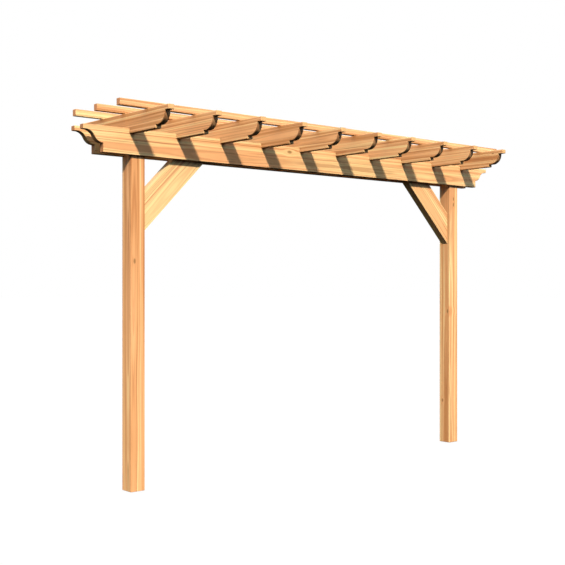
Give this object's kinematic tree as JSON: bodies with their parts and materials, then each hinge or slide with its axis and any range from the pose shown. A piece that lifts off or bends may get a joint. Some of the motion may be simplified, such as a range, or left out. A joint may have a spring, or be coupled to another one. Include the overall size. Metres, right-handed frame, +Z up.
{
  "type": "garden pergola",
  "caption": "Flat-topped timber pergola: a pair of beams clasps the post tops, carries notched rafters with curved ends and slats along them, with corner braces",
  "frame": {"origin": "middle of the left post's foot, at ground level", "axes": "+X along the beams to the right post, +Y to the back, +Z up"},
  "size_m": [3.81, 1, 2.39],
  "materials": {
    "post_timber": "planed softwood with a clear stain",
    "beam_timber": "planed softwood with a clear stain",
    "brace_timber": "planed softwood with a clear stain",
    "rafter_timber": "planed softwood with a clear stain",
    "slat_timber": "planed softwood with a clear stain"
  },
  "bodies": {
    "root": {"left_post": "post_timber", "right_post": "post_timber", "front_beam": "beam_timber", "back_beam": "beam_timber", "left_brace": "brace_timber", "right_brace": "brace_timber", "rafter_01": "rafter_timber", "rafter_02": "rafter_timber", "rafter_03": "rafter_timber", "rafter_04": "rafter_timber", "rafter_05": "rafter_timber", "rafter_06": "rafter_timber", "rafter_07": "rafter_timber", "rafter_08": "rafter_timber", "rafter_09": "rafter_timber", "rafter_10": "rafter_timber", "front_slat": "slat_timber", "middle_slat": "slat_timber", "back_slat": "slat_timber"}
  },
  "joints": []
}
